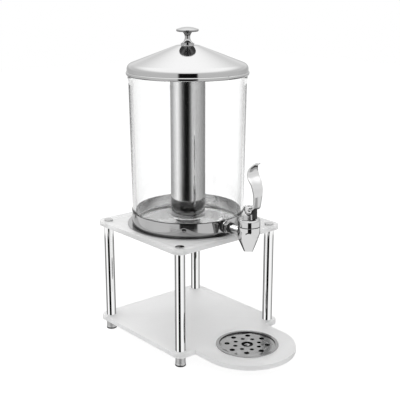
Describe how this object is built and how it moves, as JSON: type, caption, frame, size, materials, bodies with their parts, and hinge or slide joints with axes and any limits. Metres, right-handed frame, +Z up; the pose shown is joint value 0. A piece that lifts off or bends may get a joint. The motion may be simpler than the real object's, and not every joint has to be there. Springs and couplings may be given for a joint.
{
  "type": "juice dispenser",
  "caption": "Countertop juice dispenser: clear tank with an ice tube in a steel pan, on an acrylic stand with chrome legs, a lift-off lid, a lever tap and a drip tray",
  "frame": {"origin": "On the table, under the middle of the outline: the box of the whole part at rest, middle in X and Y, bottom in Z", "axes": "+X to the user's right, -Y towards the user (the tap's side), +Z up"},
  "size_m": [0.256, 0.389, 0.6],
  "materials": {
    "frosted_acrylic": "frosted, with bevelled edges",
    "clear_plastic": "clear and polished",
    "polished_tube": "mirror polished",
    "polished_sheet": "polished sheet",
    "brushed_tube": "fine brushing along the tube",
    "brushed_disc": "turned, with ring brushing",
    "brushed_tray": "satin sheet",
    "plain_steel": "plain bright steel",
    "chrome_plate": "bright plating",
    "grey_metal": "satin turned",
    "black_rubber": "matt",
    "white_silicone": "milky, matt"
  },
  "bodies": {
    "stand": {"base_plate": "frosted_acrylic", "top_plate": "frosted_acrylic", "leg_front_left": "polished_tube", "leg_front_right": "polished_tube", "leg_rear_left": "polished_tube", "leg_rear_right": "polished_tube", "foot_front_left": "grey_metal", "foot_front_right": "grey_metal", "foot_rear_left": "grey_metal", "foot_rear_right": "grey_metal", "pad_front_left": "black_rubber", "pad_front_right": "black_rubber", "pad_rear_left": "black_rubber", "pad_rear_right": "black_rubber", "leg_plugs": "plain_steel", "foot_studs": "plain_steel", "top_screws": "chrome_plate", "base_disc": "brushed_disc", "pan": "polished_sheet", "container_gasket": "white_silicone", "container": "clear_plastic", "boss_seal": "white_silicone", "bolt_seal": "white_silicone", "tube_boss": "brushed_disc", "ice_tube": "brushed_tube", "tube_end": "brushed_tube", "centre_bolt": "plain_steel", "centre_washer": "plain_steel", "centre_nut": "plain_steel", "shank": "chrome_plate", "shank_collar": "chrome_plate", "lock_nut": "chrome_plate", "inner_nut": "chrome_plate", "outer_washer": "black_rubber", "shank_ring": "black_rubber", "inner_washer": "white_silicone", "tap_body": "chrome_plate", "tap_bonnet": "chrome_plate", "joint_seal": "black_rubber", "stem_ring": "black_rubber", "return_spring": "plain_steel"},
    "stem": {"valve_stem": "plain_steel", "valve_plug": "white_silicone"},
    "lever": {"tap_lever": "chrome_plate", "lever_pin": "plain_steel"},
    "lid": {"lid_shell": "polished_sheet", "lid_rim": "polished_sheet", "lid_gasket": "white_silicone", "knob_pad": "white_silicone", "lid_knob": "chrome_plate", "knob_screw": "plain_steel", "screw_washer": "plain_steel"},
    "tray": {"drip_cup": "brushed_tray", "cup_post": "brushed_tray"},
    "grid": {"drip_grid": "brushed_tray"}
  },
  "joints": [
    {"name": "stem_lift", "type": "slide", "parent": "stand", "child": "stem", "axis": [0, 0, 1], "range_m": [0, 0.0044], "deforming": ["return_spring"]},
    {"name": "lever_pull", "type": "hinge", "parent": "stem", "child": "lever", "pos_m": [0, -0.1045, 0.288], "axis": [1, 0, 0], "range_deg": [0, 24], "stiffness_Nm_per_rad": 0.06, "springref_deg": -85.94},
    {"name": "lid_lift", "type": "slide", "parent": "stand", "child": "lid", "axis": [0, 0, 1], "range_m": [0, 0.15]},
    {"name": "cup_lift", "type": "slide", "parent": "stand", "child": "tray", "axis": [0, 0, 1], "range_m": [0, 0.06]},
    {"name": "grid_lift", "type": "slide", "parent": "tray", "child": "grid", "axis": [0, 0, 1], "range_m": [0, 0.04]}
  ],
  "couplings": [
    {"joint": "stem_lift", "follows": "lever_pull", "m_per_rad": 0.010504}
  ]
}
